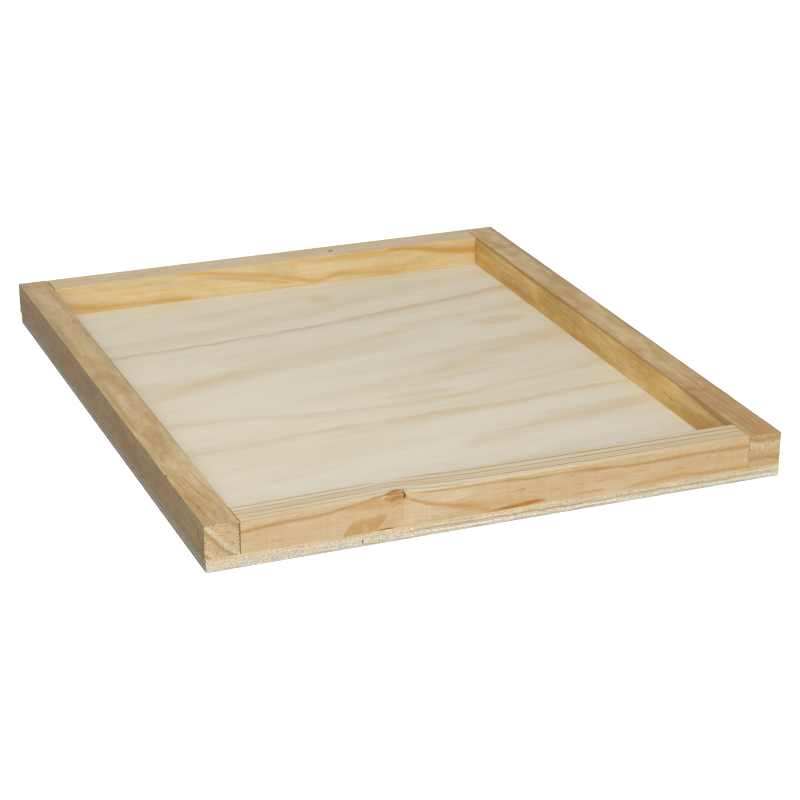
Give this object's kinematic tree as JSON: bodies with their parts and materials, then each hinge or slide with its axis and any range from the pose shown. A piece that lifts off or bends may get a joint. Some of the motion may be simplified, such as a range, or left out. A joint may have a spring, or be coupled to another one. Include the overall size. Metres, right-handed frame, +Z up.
{
  "type": "hive inner cover",
  "caption": "Shallow wooden tray that covers a beehive under its roof: a rim of squared pine rails butted and stapled on a closed plywood panel.",
  "frame": {"origin": "middle of the plan, on the underside of the panel", "axes": "+X to the right along the front rail, +Y from front to back, +Z up towards the rim"},
  "size_m": [0.43, 0.5, 0.034],
  "materials": {
    "pine_rail": "planed, bare",
    "plywood_face": "sanded, bare",
    "plywood_core": "sawn, bare",
    "staple_wire": "galvanised"
  },
  "bodies": {
    "root": {"left_rail": "pine_rail", "right_rail": "pine_rail", "front_rail": "pine_rail", "back_rail": "pine_rail", "panel_top_veneer": "plywood_face", "panel_core_veneer": "plywood_core", "panel_bottom_veneer": "plywood_face", "corner_staple_back_left": "staple_wire", "corner_staple_back_right": "staple_wire", "corner_staple_front_left": "staple_wire", "corner_staple_front_right": "staple_wire", "panel_staple_back_1": "staple_wire", "panel_staple_back_2": "staple_wire", "panel_staple_back_3": "staple_wire", "panel_staple_back_4": "staple_wire", "panel_staple_front_1": "staple_wire", "panel_staple_front_2": "staple_wire", "panel_staple_front_3": "staple_wire", "panel_staple_front_4": "staple_wire", "panel_staple_left_1": "staple_wire", "panel_staple_left_2": "staple_wire", "panel_staple_left_3": "staple_wire", "panel_staple_left_4": "staple_wire", "panel_staple_left_5": "staple_wire", "panel_staple_right_1": "staple_wire", "panel_staple_right_2": "staple_wire", "panel_staple_right_3": "staple_wire", "panel_staple_right_4": "staple_wire", "panel_staple_right_5": "staple_wire"}
  },
  "joints": []
}
